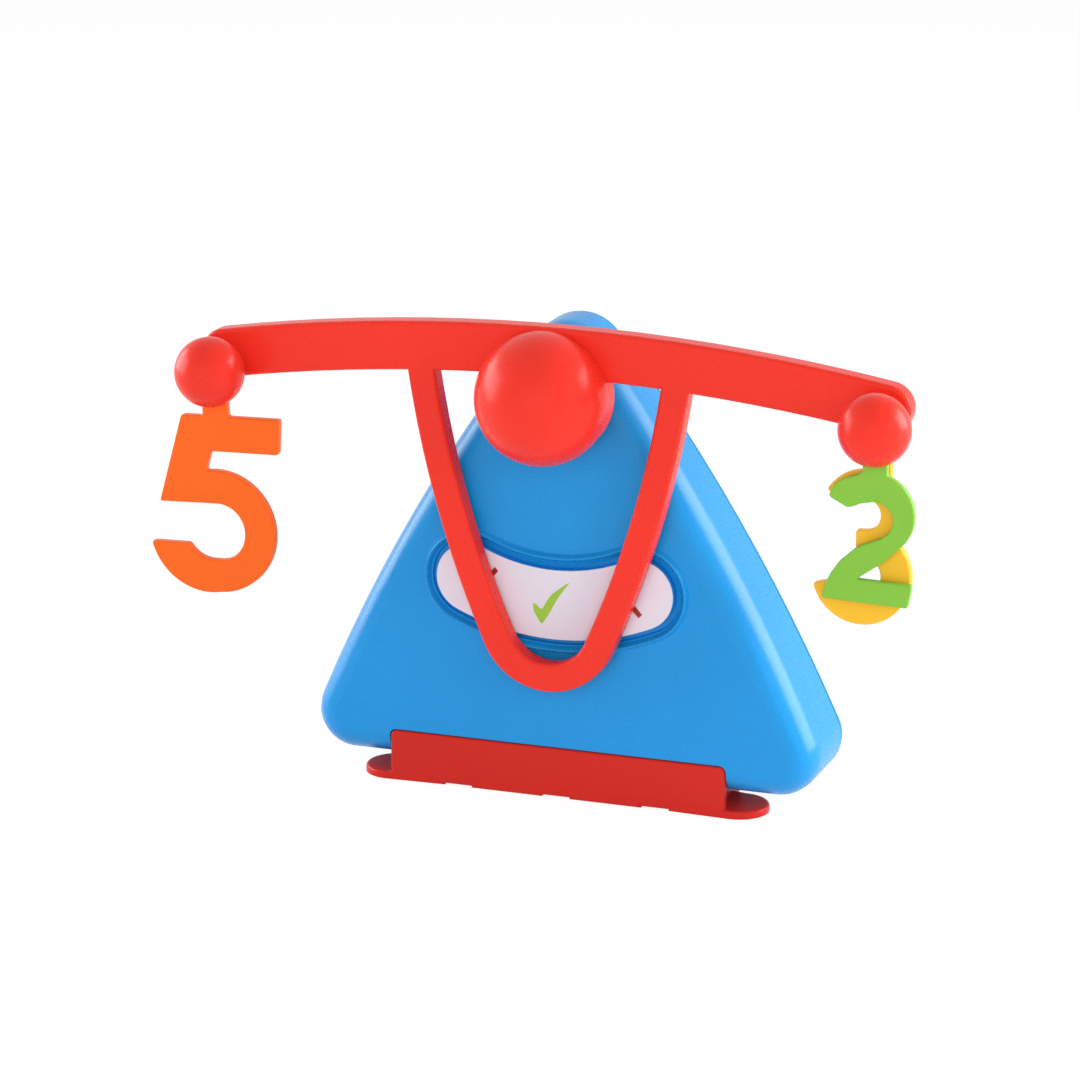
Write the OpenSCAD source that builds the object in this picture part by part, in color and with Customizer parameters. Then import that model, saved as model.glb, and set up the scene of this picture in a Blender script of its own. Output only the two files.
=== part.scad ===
// Toy balance scale: a beam with a hanging pointer loop rocks on a wedge shaped stand,
// and number weights hang from a knob at each end of the beam.
// Millimetres, Z up, front towards -Y, origin on the table under the middle of the foot.

/* [Stand] */
// Height of the pivot above the table
pivot_z = 159.5; // [156:0.5:170]
// Radius of the two lower corners of the stand's outline
corner_r = 15.8; // [14:0.2:18]
// Radius of the top corner of the stand's outline
apex_r = 17.4; // [15:0.2:20]
// Distance of each lower corner's centre from the middle
corner_x = 84.7; // [82:0.5:92]
// Height of the stand's underside above the table
stand_z = 7.5; // [6.5:0.1:9]
// Height of the top corner's centre above the pivot
apex_rise = 6.1; // [3:0.1:8]
// Radius of the bowed sides
side_r = 710; // [500:2:900]
// Distance of the front face ahead of the middle
face_d = 20; // [19:0.1:24]
// Distance of the joint between shell and cover behind the middle, where its slope is hinged
shell_back = 15; // [13.5:0.1:18]
// Forward slope of the joint and the cover
lean_a = 4.2; // [2:0.1:5]
// Height about which the joint slopes
lean_z = 104; // [90:1:115]
// Rounding of the front edge
edge_r = 7; // [5:0.2:8]
// Wall thickness of the shell
wall = 2.4; // [1.8:0.1:2.8]
// Thickness of the rear cover
cover_t = 3; // [2.6:0.1:4]
// Rounding of the cover's rear edge
cover_r = 2; // [1:0.1:2.4]
// Step of the cover's edge behind the shell's edge
seam_step = 0.25; // [0.1:0.05:0.5]
// Height of the cover's locating tabs inside the shell
lip_h = 2.5; // [1.5:0.1:4]
// Thickness of the locating tabs
lip_t = 1.6; // [1.2:0.1:2]
// Gap between the locating tabs and the shell's wall
lip_gap = 0.2; // [0.12:0.02:0.4]

/* [Dial] */
// Distance of the dial's middle line below the pivot
dial_r = 82.5; // [80:0.5:84]
// Width of the dial label
dial_w = 27; // [22:0.5:28]
// Angle from the middle of the dial to the centre of its round end
dial_a = 23.9; // [20:0.1:25]
// Width of the raised bezel
bezel_w = 4.8; // [3:0.1:5.5]
// Height of the bezel above the front face
bezel_h = 2.5; // [1.6:0.1:2.8]
// Depth of the label below the bezel's lip
label_sink = 0.3; // [0.2:0.05:0.6]
// Thickness of the label
label_t = 0.4; // [0.2:0.05:0.6]
// Thickness of the printed signs
print_t = 0.1; // [0.05:0.01:0.15]
// Angle from the tick to each cross
cross_a = 20.7; // [18:0.1:22]
// Length of each bar of a cross
cross_l = 16; // [12:0.5:18]
// Width of each bar of a cross
cross_w = 2.6; // [2:0.1:4]

/* [Foot] */
// Half the width of the foot's front wall
foot_x = 67.1; // [62:0.5:72]
// Height of the front wall
foot_h = 19.8; // [16:0.2:24]
// Thickness of the front wall
foot_t = 3.4; // [3:0.1:4]
// Distance of the front wall's face ahead of the stand's front face
foot_out = 0.7; // [0.4:0.1:1.2]
// Radius of the top corners of the foot's front wall
foot_r = 2.2; // [1.5:0.1:3]
// Half the length of the sole
sole_x = 81; // [78:0.5:90]
// Radius of the sole's two round ends
sole_r = 11.8; // [9:0.2:12.4]
// Thickness of the sole
sole_t = 3; // [2.6:0.1:3.6]
// Gap between the foot's wall and the shell
foot_gap = 0.4; // [0.2:0.05:0.6]
// Width of each notch in the sole's edge
notch_w = 11; // [8:0.5:14]
// Height of each notch in the sole's edge
notch_h = 0.7; // [0.4:0.1:1]
// Distance from notch to notch
notch_step = 39.6; // [34:0.2:42]

/* [Beam] */
// Gap between the beam and the stand's front face
beam_gap = 3.7; // [3.5:0.1:5]
// Thickness of the beam and its loop
beam_t = 7.5; // [6.6:0.1:9]
// Height of the beam
beam_h = 18.6; // [16:0.2:20]
// Radius of the beam's arched middle line
beam_r = 766; // [600:2:1200]
// Height of the beam's middle above the pivot
beam_rise = 16.5; // [14:0.5:19]
// Distance of the beam's round end centres beyond the pegs
end_over = 0.1; // [0:0.1:2]
// Thickness of the beam's front skin and side walls
skin = 2.2; // [1.8:0.1:2.6]
// Thickness of the ribs behind the beam
rib_t = 1.4; // [1:0.1:2]
// Radius of the hub behind the dome
hub_r = 24.2; // [23.4:0.1:24.8]
// Distance from the pivot down to the loop's lowest edge
loop_drop = 114.3; // [112:0.5:122]
// Outer radius of the loop's bottom
loop_r = 27; // [24:0.2:30]
// Width of the loop's bar
loop_w = 10.7; // [9:0.1:12]
// Bow radius of the loop's legs
leg_r = 400; // [340:5:520]
// Lean of the legs where they meet the loop's bottom
leg_a = 24; // [21:0.5:26]
// Tilt of the beam to each side
tilt_max = 21; // [15:0.5:22]

/* [Knobs] */
// Radius of the dome over the pivot
dome_r = 25.1; // [25:0.05:26]
// Distance of the dome's centre ahead of the beam
dome_ahead = 3.8; // [3:0.1:4.4]
// Distance from the pivot to each hanging peg
arm_x = 129; // [126:0.5:132]
// Height of the pegs above the pivot
peg_rise = 1.4; // [0.4:0.1:3]
// Radius of each end knob
ball_r = 13.3; // [12.6:0.1:14.5]
// Distance of each end knob's centre ahead of the beam
ball_ahead = 12.9; // [12.7:0.1:14]
// Distance of each end knob's flat back behind its centre
ball_cut = 4.3; // [3.6:0.1:4.4]
// Wall thickness of the dome and the end knobs
knob_t = 2.2; // [1.6:0.1:2.6]
// Radius of the pegs
peg_r = 3; // [2.6:0.1:3.2]

/* [Pivot] */
// Radius of the axle
axle_r = 2.5; // [2:0.1:3]
// Running clearance of the axle in its bearings
axle_fit = 0.05; // [0.02:0.01:0.1]
// Radius of the bearing bosses
bearing_r = 6.5; // [5.5:0.1:8]
// Thickness of the retaining washer
washer_t = 1; // [0.6:0.1:1.4]
// End play between beam and stand
end_play = 0.4; // [0.3:0.05:0.6]

/* [Numbers] */
// Thickness of the number 5
five_t = 3.8; // [3:0.1:4]
// Thickness of the number 2
two_t = 3.17; // [2.8:0.01:3.6]
// Thickness of the number 3
three_t = 4.06; // [3.6:0.01:4.2]
// Height of the number 5's figure
five_h = 69.3; // [64:0.1:74]
// Height of the number 2's figure
two_h = 49.2; // [46:0.1:53]
// Height of the number 3's figure
three_h = 57.8; // [54:0.1:62]
// Gap beside each hanging number
hang_gap = 0.33; // [0.25:0.01:0.35]
// Running clearance of each number's eye on its peg
eye_fit = 0.08; // [0.03:0.01:0.1]
// Outer radius of each number's eye
eye_r = 6.4; // [5.6:0.1:7]
// Width of the number 5's neck
five_neck = 10.2; // [9:0.1:12]
// Width of the neck of the numbers 2 and 3
small_neck = 9.2; // [8:0.1:11]
// Lean of the hanging 5
five_lean = 1.5; // [-1:0.1:4]
// Lean of the hanging 2
two_lean = -0.9; // [-4:0.1:2]
// Lean of the hanging 3
three_lean = 0.4; // [-4:0.1:3]

/* [Screws] */
// Shank radius of the screws
screw_r = 1.3; // [1.1:0.05:1.4]
// Head radius of the screws
head_r = 2.8; // [2.4:0.1:3]
// Head height of the screws
head_h = 1.4; // [1:0.1:1.6]
// Clearance of a screw head in its recess
head_gap = 0.3; // [0.2:0.05:0.4]
// Radius of the screw bosses
boss_r = 4; // [3.6:0.1:4.6]

/* [Hidden] */
$fn = 96;
blue = "#2e92de";
red = "#e8382c";
steel = "#b9bcc0";
white = "#efecef";
// Outline of the stand: three corner circles joined by two bowed sides
top_c = [0, pivot_z + apex_rise];
low_c = [corner_x, stand_z + corner_r];
side_l = norm(low_c - top_c);
side_u = (low_c - top_c) / side_l;
side_along = (pow(side_r - apex_r, 2) - pow(side_r - corner_r, 2) + side_l * side_l) / (2 * side_l);
side_in = sqrt(pow(side_r - apex_r, 2) - side_along * side_along);
side_c = top_c + side_along * side_u + side_in * [side_u[1], -side_u[0]];
top_a = atan2(top_c[1] - side_c[1], top_c[0] - side_c[0]);
low_a = atan2(low_c[1] - side_c[1], low_c[0] - side_c[0]);
cover_back = shell_back + cover_t;
// Joint at the pivot, and a depth behind all of it
pivot_back = (pivot_z - lean_z) * tan(lean_a) - shell_back;
shell_deep = shell_back + lean_z * tan(lean_a) + 1;
// Depths towards the viewer
beam_back = face_d + beam_gap;
beam_front = beam_back + beam_t;
dome_d = beam_front + dome_ahead;
ball_d = beam_front + ball_ahead;
cut_d = ball_d - ball_cut;
label_d = face_d + bezel_h - label_sink;
foot_d = face_d + foot_out;
// Heights
beam_c = pivot_z + beam_rise - beam_r;
peg_z = pivot_z + peg_rise;
loop_z = pivot_z - loop_drop + loop_r;
leg_c = [-(leg_r - loop_r) * cos(leg_a), loop_z + (leg_r - loop_r) * sin(leg_a)];
end_x = arm_x + end_over;
end_a = asin(end_x / beam_r);
// Places of the screws
shell_screws = [[-68, 33], [68, 33], [-36, 108], [36, 108]];
foot_screw_x = 40;
bezel_n = 6;
post_top = stand_z + wall + 16;
seat_r = 10.4;
seat_t = 2;
post_d = dome_d + 6;
pilot_r = screw_r;
// Sizes of the figures against the ones their strokes are drawn at
five_k = five_h / 69.3;
two_k = two_h / 49.2;
three_k = three_h / 57.8;

// Sub-part to draw

// Turns a drawing seen from the front upright, its depth towards the viewer
module face() rotate([90, 0, 0]) children();

// Slopes what belongs to the cover forward with the joint
module lean() translate([0, lean_z, -shell_back]) rotate([lean_a, 0, 0]) translate([0, -lean_z, shell_back]) children();

// Points of an arc about c from angle a0 to angle a1 in n steps, without the first and last few
function arc_points(c, r, a0, a1, n, skip) =
    [for (i = [skip : n - skip]) let (a = a0 + (a1 - a0) * i / n) c + r * [cos(a), sin(a)]];

// Outline of the stand moved in by inset, with n steps to each corner
function outline(inset, n) = concat(
    arc_points(low_c, corner_r - inset, -90, low_a, n, 0),
    arc_points(side_c, side_r - inset, low_a, top_a, n, 1),
    arc_points(top_c, apex_r - inset, top_a, 180 - top_a, n, 0),
    arc_points([-side_c[0], side_c[1]], side_r - inset, 180 - top_a, 180 - low_a, n, 1),
    arc_points([-low_c[0], low_c[1]], corner_r - inset, 180 - low_a, 270, n, 0));

// Solid of the stand's outline moved in by inset, its front edge rounded in k steps
module slab(inset, back, front, round_r, n, k) {
    m = len(outline(inset, n));
    rings = concat([[inset, back]], [for (i = [0 : k]) let (a = 90 * i / k)
        [inset + round_r * (1 - cos(a)), front - round_r * (1 - sin(a))]]);
    points = [for (q = rings) for (p = outline(q[0], n)) [p[0], p[1], q[1]]];
    sides = [for (j = [0 : k], i = [0 : m - 1]) let (e = (i + 1) % m)
        [j * m + i, j * m + m + i, j * m + m + e, j * m + e]];
    polyhedron(points, concat([[for (i = [0 : m - 1]) i]], sides, [[for (i = [1 : m]) (k + 2) * m - i]]));
}

// Hollow of the shell, stepped in behind its rounded edge
module hollow() {
    translate([0, 0, -shell_deep - 1]) linear_extrude(face_d - edge_r + shell_deep + 1) polygon(outline(wall, 8));
    translate([0, 0, -shell_deep - 1]) linear_extrude(face_d - wall + shell_deep + 1) polygon(outline(edge_r, 8));
}

// Curved strip of the dial, widened by grow
module dial2(grow) {
    translate([0, pivot_z]) {
        intersection() {
            difference() {
                circle(dial_r + dial_w / 2 + grow, $fn = 240);
                circle(dial_r - dial_w / 2 - grow, $fn = 240);
            }
            polygon([[0, 0], 200 * [-sin(dial_a + 0.3), -cos(dial_a + 0.3)], 200 * [sin(dial_a + 0.3), -cos(dial_a + 0.3)]]);
        }
        for (s = [-1, 1]) rotate(s * dial_a) translate([0, -dial_r]) circle(dial_w / 2 + grow - 0.02);
    }
}

// Raised bezel round the dial with its rounded outer edge in steps, and the floor that carries the label
module bezel() difference() {
    for (i = [0 : bezel_n - 1]) let (a = 90 * i / bezel_n, b = 90 * (i + 1) / bezel_n)
        translate([0, 0, face_d - 1]) linear_extrude(1 + bezel_h * (0.36 + 0.64 * sin(b)))
            dial2(bezel_w * (0.2 + 0.8 * cos(a)));
    translate([0, 0, label_d - label_t]) linear_extrude(label_t + label_sink + 1) dial2(0);
}

// Round post from depth a to depth b at a place seen from the front
module post(p, r, a, b) translate([p[0], p[1], a]) cylinder(r = r, h = b - a);

module front_shell() color(blue) {
    difference() {
        face() {
            difference() {
                slab(0, -shell_deep, face_d, edge_r, 12, 5);
                hollow();
                lean() translate([-150, -50, -shell_back - 50]) cube([300, 300, 50]);
            }
            bezel();
            lean() for (p = shell_screws)
                post(p, boss_r, -shell_back + lip_h, face_d - wall / 2 - (p[1] - lean_z) * tan(lean_a));
            post([0, pivot_z], bearing_r, 2, face_d - wall / 2);
            stops();
        }
        face() {
            lean() for (p = shell_screws) post(p, pilot_r, -shell_back - 1, 4);
            post([0, pivot_z], axle_r + axle_fit, 0, face_d + 1);
        }
        face() translate([0, 0, foot_d - foot_t - foot_gap])
            linear_extrude(face_d + 1 - foot_d + foot_t + foot_gap) foot_wall2(foot_gap);
        for (s = [-1, 1]) translate([s * foot_screw_x, 0, 0]) cylinder(r = pilot_r, h = post_top + 1);
    }
    for (s = [-1, 1]) translate([s * foot_screw_x, 0, stand_z + wall / 2]) difference() {
        cylinder(r = boss_r, h = post_top - stand_z - wall / 2);
        translate([0, 0, -1]) cylinder(r = pilot_r, h = 12);
    }
}

// Two blocks behind the hub that end the beam's tilt
module stops() {
    for (s = [0, 1]) mirror([s, 0, 0]) translate([0, pivot_z, face_d - 0.5])
        rotate(-90 + tilt_max + 8) rotate_extrude(angle = 14) translate([14, 0]) square([5, beam_gap - 0.1]);
}

// Tabs on the cover that locate it inside the shell's wall
module lips() {
    for (x = [-48, 0, 48])
        translate([x - 12, stand_z + wall + lip_gap, -shell_back - 1]) cube([24, lip_t, lip_h + 1]);
    for (s = [0, 1], f = [0.25, 0.5, 0.75]) mirror([s, 0, 0]) translate([side_c[0], side_c[1], -shell_back - 1])
        rotate(low_a + f * (top_a - low_a)) translate([side_r - wall - lip_gap - lip_t, -8, 0])
            cube([lip_t, 16, lip_h + 1]);
}

module rear_cover() color(blue) difference() {
    face() {
        lean() {
            translate([0, 0, -shell_back]) rotate([0, 180, 0]) slab(seam_step, 0, cover_t, cover_r, 12, 3);
            lips();
        }
        post([0, pivot_z], bearing_r, pivot_back - 1, -4);
    }
    face() {
        post([0, pivot_z], axle_r + axle_fit, pivot_back - 1, 0);
        lean() for (p = shell_screws) {
            post(p, screw_r + 0.2, -cover_back - 1, -shell_back + 1);
            post(p, head_r + head_gap, -cover_back - 1, -cover_back + head_h);
        }
    }
}

// Pan head screw with a cross recess, its head's underside at height zero and pointing up
module screw(length) difference() {
    union() {
        translate([0, 0, -head_h]) cylinder(r = head_r, h = head_h);
        cylinder(r = screw_r, h = length);
    }
    for (a = [0, 90]) rotate(a) translate([-0.75 * head_r, -0.3, -head_h - 1]) cube([1.5 * head_r, 0.6, 1.7]);
}

module housing_screws() color(steel) face() lean()
    for (p = shell_screws) translate([p[0], p[1], -cover_back + head_h]) screw(shell_back + cover_t - head_h + 1);

module dial_label() color(white) face()
    translate([0, 0, label_d - label_t]) linear_extrude(label_t) dial2(-0.05);

module tick_mark() color("#a8c83c") face() translate([0, pivot_z - dial_r, label_d]) linear_extrude(print_t)
    polygon([[-8.3, -0.4], [-5.5, 1.2], [-2.9, -2.4], [3.6, 9.6], [6.9, 10.4], [-1.6, -7.3], [-4.1, -7.2]]);

module cross_marks() color(red) face() translate([0, pivot_z, label_d]) linear_extrude(print_t)
    for (s = [-1, 1]) translate(dial_r * [s * sin(cross_a), -cos(cross_a)])
        for (a = [-50, 50]) rotate(a) square([cross_l, cross_w], center = true);

// Front of the foot's wall with gap all round
module foot_wall2(gap) {
    translate([-foot_x - gap, -gap]) square([2 * (foot_x + gap), foot_h - foot_r + gap]);
    translate([-foot_x + foot_r, -gap]) square([2 * (foot_x - foot_r), foot_h + 2 * gap]);
    for (s = [-1, 1]) translate([s * (foot_x - foot_r), foot_h - foot_r]) circle(foot_r + gap);
}

// Plan of the sole
module sole2() {
    translate([sole_r - sole_x, -foot_d]) square([2 * (sole_x - sole_r), 2 * sole_r]);
    for (s = [-1, 1]) translate([s * (sole_x - sole_r), sole_r - foot_d]) circle(sole_r);
    translate([4 - foot_x, sole_r - foot_d]) square([2 * foot_x - 8, 2 * foot_d - sole_r]);
}

module foot() color(red) difference() {
    union() {
        linear_extrude(sole_t) sole2();
        face() translate([0, 0, foot_d - foot_t]) linear_extrude(foot_t) {
            foot_wall2(0);
        }
        difference() {
            translate([-foot_x + 4, -foot_d + 1, 0]) cube([2 * foot_x - 8, 2 * foot_d - 8, stand_z]);
            translate([-foot_x + 6.4, -foot_d + foot_t, sole_t])
                cube([2 * foot_x - 12.8, 2 * foot_d - 9.4 - foot_t, stand_z]);
        }
        for (s = [-1, 1]) translate([s * foot_screw_x, 0, 0]) cylinder(r = boss_r + 2, h = stand_z);
    }
    for (s = [-1, 1]) translate([s * foot_screw_x, 0, -1]) {
        cylinder(r = screw_r + 0.2, h = stand_z + 2);
        cylinder(r = head_r + head_gap, h = 1 + notch_h + head_h);
    }
    for (i = [-1, 0, 1], s = [-1, 1])
        translate([i * notch_step - notch_w / 2, s * (foot_d - 2) - 2.5, -1]) cube([notch_w, 5, notch_h + 1]);
}

module foot_screws() color(steel)
    for (s = [-1, 1]) translate([s * foot_screw_x, 0, notch_h + head_h]) screw(stand_z + wall + 6);

// Arched bar of the beam moved in by inset
module bar2(inset) translate([0, beam_c]) {
    intersection() {
        difference() {
            circle(beam_r + beam_h / 2 - inset, $fn = 1440);
            circle(beam_r - beam_h / 2 + inset, $fn = 1440);
        }
        polygon([[0, 0], 2 * beam_r * [-sin(end_a), cos(end_a)], 2 * beam_r * [sin(end_a), cos(end_a)]]);
    }
    for (s = [-1, 1]) rotate(s * end_a) translate([0, beam_r]) circle(beam_h / 2 - inset);
}

// Everything inside the loop's outline moved in by inset, up to a height
module loop_fill2(inset, top) {
    r = loop_r - inset;
    low = loop_z - r * sin(leg_a);
    translate([0, loop_z]) circle(r);
    intersection() {
        translate(leg_c) circle(leg_r - inset, $fn = 720);
        mirror([1, 0]) translate(leg_c) circle(leg_r - inset, $fn = 720);
        translate([-100, low]) square([200, top - low]);
    }
}

module loop2(inset) difference() {
    loop_fill2(inset, pivot_z + beam_rise - 4 - inset);
    loop_fill2(loop_w - inset, pivot_z + beam_rise + 4);
}

// Hollows behind the beam, between its ribs
module pockets2() difference() {
    union() {
        bar2(skin);
        loop2(skin);
    }
    translate([0, pivot_z]) circle(hub_r + 0.5);
    for (s = [-1, 1]) translate([s * arm_x, peg_z]) circle(peg_r + 4);
    for (i = [-6 : 6]) translate([0, beam_c]) rotate(i * 1.55 + 0.775) translate([-rib_t / 2, beam_r - beam_h])
        square([rib_t, 2 * beam_h]);
    for (i = [1 : 5]) translate([-100, loop_z + i * (pivot_z - loop_z) / 5.4]) square([200, rib_t]);
}

module balance_beam() color(red) face() difference() {
    union() {
        difference() {
            translate([0, 0, beam_back]) linear_extrude(beam_t) {
                bar2(0);
                loop2(0);
                translate([0, pivot_z]) circle(hub_r);
            }
            translate([0, 0, beam_back - 1]) linear_extrude(beam_t - skin + 1) pockets2();
        }
        post([0, pivot_z], bearing_r, face_d + end_play, beam_back + 1);
        translate([0, pivot_z, face_d + end_play]) rotate(-97) rotate_extrude(angle = 14)
            translate([14, 0]) square([5, beam_gap]);
    }
    post([0, pivot_z], axle_r, face_d - 1, beam_front + 1);
    for (s = [-1, 1]) {
        post([s * arm_x, peg_z], peg_r, beam_back + 2, beam_front + 1);
        post([s * arm_x, peg_z], screw_r, beam_back - 1, beam_front);
    }
}

module pivot_axle() color(steel) face() post([0, pivot_z], axle_r, pivot_back + 0.6, post_d);

module axle_washer() color(steel) face() difference() {
    post([0, pivot_z], bearing_r - 0.5, 1.6 - washer_t, 1.6);
    post([0, pivot_z], axle_r, 0, 2);
}

// Ball of radius r ahead of depth cut
module cap(r, d, cut) intersection() {
    translate([0, 0, d]) sphere(r, $fn = 144);
    translate([-50, -50, cut]) cube([100, 100, 100]);
}

module centre_dome() color(red) face() translate([0, pivot_z, 0]) difference() {
    union() {
        difference() {
            cap(dome_r, dome_d, beam_front);
            cap(dome_r - knob_t, dome_d, beam_front - 1);
        }
        translate([0, 0, beam_front]) cylinder(r = axle_r + 2.5, h = dome_d + dome_r - knob_t - beam_front);
        for (a = [0 : 60 : 300]) rotate(a) translate([0, -0.7, beam_front + 0.6]) cube([dome_r - knob_t + 0.8, 1.4, 7]);
    }
    translate([0, 0, beam_front - 1]) cylinder(r = axle_r, h = post_d - beam_front + 1);
}

// Peg with the disc that closes the end knob's back
module peg(s) color(red) face() translate([s * arm_x, peg_z, 0]) difference() {
    union() {
        translate([0, 0, beam_back + 2]) cylinder(r = peg_r, h = cut_d - beam_back - 1.5);
        translate([0, 0, cut_d]) cylinder(r = seat_r, h = seat_t);
        translate([0, 0, cut_d + seat_t]) cylinder(r = seat_r - 1, h = 1.5);
    }
    translate([0, 0, beam_back]) cylinder(r = screw_r, h = beam_t + 1.5);
}

module ball(s) color(red) face() translate([s * arm_x, peg_z, 0]) difference() {
    cap(ball_r, ball_d, cut_d);
    cap(ball_r - knob_t, ball_d, cut_d + seat_t);
    translate([0, 0, cut_d - 1]) cylinder(r = seat_r, h = seat_t + 2);
}

module left_peg() peg(-1);

module right_peg() peg(1);

module left_ball() ball(-1);

module right_ball() ball(1);

module peg_screws() color(steel) face()
    for (s = [-1, 1]) translate([s * arm_x, peg_z, beam_back]) screw(beam_t + 0.5);

// Part of a ring from angle a0 to angle a1
module arc2(c, ro, ri, a0, a1) translate(c) intersection() {
    difference() {
        circle(ro);
        circle(ri);
    }
    polygon(concat([[0, 0]], [for (i = [0 : 6]) let (a = a0 + (a1 - a0) * i / 6) 2 * ro * [cos(a), sin(a)]]));
}

// Hook over the peg, with its entry at the left, and the neck below it
module hook2(neck, shift, drop) difference() {
    union() {
        circle(eye_r);
        translate([shift - neck / 2, -drop]) square([neck, drop]);
    }
    circle(peg_r + eye_fit);
    translate([-12, -peg_r - eye_fit]) square([12, 2 * (peg_r + eye_fit)]);
}

// Number hung on a peg at depth d, from the strokes it is given
module hung(s, lean, d, t) face() translate([s * arm_x, peg_z, d]) rotate(lean) union() {
    for (i = [0 : 1 : $children - 1]) linear_extrude(t) children(i);
}

module number_5() color("#ff7020") hung(-1, five_lean, cut_d - hang_gap - five_t, five_t) {
    hook2(five_neck, -1, 22 * five_k);
    polygon(five_k * [[-15, -18.3], [25.2, -18.3], [24.2, -32], [-3.5, -32], [-5.9, -39.6], [-2.5, -39.4],
        [-2.5, -52.4], [-25.5, -52.8]]);
    difference() {
        translate(five_k * [-2.3, -63.3]) circle(five_k * 23.9);
        translate(five_k * [-1.7, -63.4]) circle(five_k * 11);
        translate(five_k * [-4.4, -74.4]) square(five_k * [2.7, 11]);
        translate(five_k * [-60, -90]) square(five_k * [56.5, 90]);
    }
    difference() {
        translate(five_k * [-6, -63.4]) circle(five_k * 24.2);
        translate(five_k * [-4.4, -63.4]) circle(five_k * 11);
        translate(five_k * [-4.4, -74.4]) square(five_k * [2.7, 11]);
        translate(five_k * [-40, -68.6]) square(five_k * [80, 40]);
        translate(five_k * [-2.5, -90]) square(five_k * [40, 40]);
    }
}

module number_2() color("#86cc46") hung(1, two_lean, cut_d - hang_gap - two_t, two_t) {
    hook2(small_neck, -0.8, 22 * two_k);
    difference() {
        arc2(two_k * [-1.1, -32.65], two_k * 15.6, two_k * 4, -50, 160);
        translate(two_k * [-0.2, -34.7]) circle(two_k * 6.8);
        polygon(two_k * [[-11, -31.8], [-5.4, -28.8], [-0.2, -28], [0, -36], [-11, -36]]);
    }
    polygon(two_k * [[-9, -19.2], [-11.7, -20], [-14.4, -21.7], [-16.4, -23.9], [-17.7, -27.4], [-10.4, -31],
        [-7.6, -29.9], [-5.4, -28.8], [-4, -24]]);
    polygon(two_k * [[9.9, -43.7], [3.2, -50.3], [-6.2, -57.2], [14.5, -57.4], [13.1, -66.2], [-19.1, -65.6],
        [-18.1, -60.7], [-16, -56], [-12.8, -51.1], [-7, -45.6], [-0.6, -42.6], [2.8, -41], [4.4, -39.4]]);
}

module number_3() color("#fbb72e") hung(1, three_lean, beam_front + hang_gap, three_t) {
    hook2(small_neck, -0.8, 22 * three_k);
    arc2(three_k * [-5.8, -33.8], three_k * 16.4, three_k * 6, -90, 150);
    difference() {
        arc2(three_k * [-6.9, -56.6], three_k * 18.6, three_k * 7.3, -166, 90);
        translate(three_k * [-30, -39.8]) square(three_k * [24.2, 10]);
        translate(three_k * [-5.8, -33.8]) circle(three_k * 6);
    }
    polygon(three_k * [[-9, -39.8], [-9, -48.5], [-6.9, -49.3], [-4, -48.7], [-4, -39.8]]);
}

front_shell();
rear_cover();
housing_screws();
dial_label();
tick_mark();
cross_marks();
foot();
foot_screws();
balance_beam();
pivot_axle();
axle_washer();
centre_dome();
left_peg();
left_ball();
right_peg();
right_ball();
peg_screws();
number_5();
number_2();
number_3();
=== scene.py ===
"""Toy balance scale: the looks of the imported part, its studio and its camera."""

import math

import bmesh
import bpy
from mathutils import Matrix, Vector
from mathutils.geometry import tessellate_polygon


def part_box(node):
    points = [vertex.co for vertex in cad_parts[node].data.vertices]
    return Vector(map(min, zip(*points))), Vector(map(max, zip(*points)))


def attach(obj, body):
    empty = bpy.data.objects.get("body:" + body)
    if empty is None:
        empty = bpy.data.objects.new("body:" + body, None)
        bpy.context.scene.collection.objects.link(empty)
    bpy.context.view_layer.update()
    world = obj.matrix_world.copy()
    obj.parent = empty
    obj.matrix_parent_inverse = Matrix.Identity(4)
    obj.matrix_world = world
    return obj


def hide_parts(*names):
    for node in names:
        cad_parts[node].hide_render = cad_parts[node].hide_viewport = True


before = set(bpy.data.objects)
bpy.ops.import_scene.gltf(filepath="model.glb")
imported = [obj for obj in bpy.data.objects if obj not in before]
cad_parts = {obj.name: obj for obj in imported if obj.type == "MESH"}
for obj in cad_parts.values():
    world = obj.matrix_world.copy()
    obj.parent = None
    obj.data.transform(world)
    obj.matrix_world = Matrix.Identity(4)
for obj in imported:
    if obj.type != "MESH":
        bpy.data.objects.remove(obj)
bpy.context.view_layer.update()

bl_info = {
    "name": "Toy balance scale",
    "version": (1, 0, 0),
    "blender": (4, 5, 0),
    "location": "3D View > Sidebar > Balance Scale",
    "description": "Moulded pieces, materials and studio of a toy balance scale",
    "category": "Object",
}

MM = 0.001
FRONT = Vector((0, -1, 0))
SMOOTH_ANGLE = math.radians(32)
# Faces that turn by less than this make one flat
FLAT_ANGLE = math.radians(0.3)
# Cosine of the angle within which a face still faces a way
FACING = 0.9995
# Corners of loose faces that lie closer than this are one
WELD = 2e-6
# Corners that an inset brought closer than this are one
TOUCH = 1e-7
# Levels along a way that differ by less than this are the same
SAME_LEVEL = 1e-5
LEVEL_DIGITS = 5


def linear(code):
    """Linear RGBA of an sRGB hex colour."""
    values = [int(code[i : i + 2], 16) / 255 for i in (0, 2, 4)]
    return tuple(v / 12.92 if v <= 0.04045 else ((v + 0.055) / 1.055) ** 2.4 for v in values) + (1.0,)


def middle(node):
    """Middle of a CAD node's box."""
    low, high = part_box(node)
    return (low + high) / 2


DOME_LOW, DOME_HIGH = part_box("centre_dome")
BALL_LOW, BALL_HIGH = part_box("right_ball")
LABEL_LOW, LABEL_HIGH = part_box("dial_label")


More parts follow.
